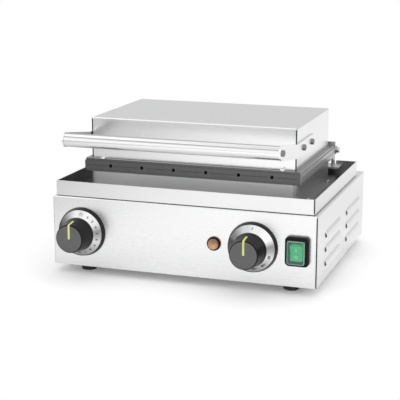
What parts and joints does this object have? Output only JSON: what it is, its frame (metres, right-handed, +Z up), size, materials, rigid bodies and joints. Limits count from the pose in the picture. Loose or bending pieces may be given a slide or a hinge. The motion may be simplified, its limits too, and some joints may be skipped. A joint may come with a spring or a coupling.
{
  "type": "corn dog maker",
  "caption": "Countertop corn dog maker: sheet-metal base with drip tray, two moulded hot plates, hinged lid with tube handle, timer and thermostat knobs and a rocker switch.",
  "frame": {"origin": "centre of the bounding box's footprint, on the plane of the feet", "axes": "+X to the user's right, front towards -Y, +Z up"},
  "size_m": [0.3892, 0.3694, 0.2174],
  "materials": {
    "brushed_stainless": "fine brushed stainless sheet",
    "tray_stainless": "satin stainless sheet",
    "polished_stainless": "polished stainless",
    "plate_coating": "cast plate with dark non-stick coating",
    "inner_steel": "plain inner steel",
    "bracket_steel": "plain steel bracket",
    "screw_steel": "bright plated screws",
    "black_plastic": "satin black moulding",
    "scale_aluminium": "spun aluminium ring",
    "pointer_green": "yellow-green inlay",
    "amber_lens": "translucent amber lens",
    "rocker_green": "translucent green rocker",
    "clear_boot": "clear splash boot",
    "black_rubber": "black rubber",
    "mineral_wool": "mineral wool pad",
    "gland_plastic": "black nylon gland",
    "control_case": "grey thermoset case",
    "terminal_plastic": "ivory terminal block"
  },
  "bodies": {
    "base": {"housing": "brushed_stainless", "bottom_plate": "brushed_stainless", "bottom_screws": "screw_steel", "feet": "black_rubber", "foot_screws": "screw_steel", "drip_tray": "tray_stainless", "plate_frame": "tray_stainless", "frame_screws": "screw_steel", "lower_plate": "plate_coating", "lower_plate_bolts": "screw_steel", "lower_heater": "inner_steel", "lower_clamp_plate": "inner_steel", "lower_clamp_nuts": "screw_steel", "heat_shield": "inner_steel", "hinge_bracket_left": "bracket_steel", "hinge_bracket_right": "bracket_steel", "hinge_bracket_screws": "screw_steel", "hinge_pins": "screw_steel", "timer_case": "control_case", "thermostat_case": "control_case", "thermostat_bulb": "inner_steel", "timer_bezel": "black_plastic", "thermostat_bezel": "black_plastic", "timer_scale": "scale_aluminium", "thermostat_scale": "scale_aluminium", "control_screws": "screw_steel", "lamp_body": "black_plastic", "lamp_lens": "amber_lens", "switch_body": "black_plastic", "switch_frame": "black_plastic", "switch_boot": "clear_boot", "terminal_block": "terminal_plastic", "mains_gland": "gland_plastic", "deck_gland": "gland_plastic"},
    "lid": {"lid_cover": "brushed_stainless", "upper_plate": "plate_coating", "upper_heater": "inner_steel", "upper_clamp_plate": "inner_steel", "upper_clamp_nuts": "screw_steel", "lid_insulation": "mineral_wool", "handle_bracket_left": "bracket_steel", "handle_bracket_right": "bracket_steel", "handle_bracket_screws": "screw_steel", "handle_arm_left": "polished_stainless", "handle_arm_right": "polished_stainless", "handle_tube": "polished_stainless", "handle_plugs": "inner_steel", "handle_screws": "screw_steel", "lid_hinge_left": "bracket_steel", "lid_hinge_right": "bracket_steel", "lid_hinge_screws": "screw_steel", "ledge_screws": "screw_steel", "lid_gland": "gland_plastic"},
    "timer_knob": {"timer_knob": "black_plastic", "timer_pointer": "pointer_green", "timer_shaft": "inner_steel"},
    "thermostat_knob": {"thermostat_knob": "black_plastic", "thermostat_pointer": "pointer_green", "thermostat_shaft": "inner_steel"},
    "rocker": {"rocker": "rocker_green"}
  },
  "joints": [
    {"name": "lid_hinge", "type": "hinge", "parent": "base", "child": "lid", "pos_m": [0, 0.12122, 0.1507], "axis": [-1, 0, 0], "range_deg": [0, 95]},
    {"name": "timer_turn", "type": "hinge", "parent": "base", "child": "timer_knob", "pos_m": [-0.147, -0.15227, 0.0617], "axis": [0, 1, 0], "range_deg": [0, 300]},
    {"name": "thermostat_turn", "type": "hinge", "parent": "base", "child": "thermostat_knob", "pos_m": [0.1027, -0.15227, 0.0617], "axis": [0, 1, 0], "range_deg": [0, 270]},
    {"name": "switch_rock", "type": "hinge", "parent": "base", "child": "rocker", "pos_m": [0.1647, -0.13428, 0.0617], "axis": [-1, 0, 0], "range_deg": [0, 14]}
  ]
}
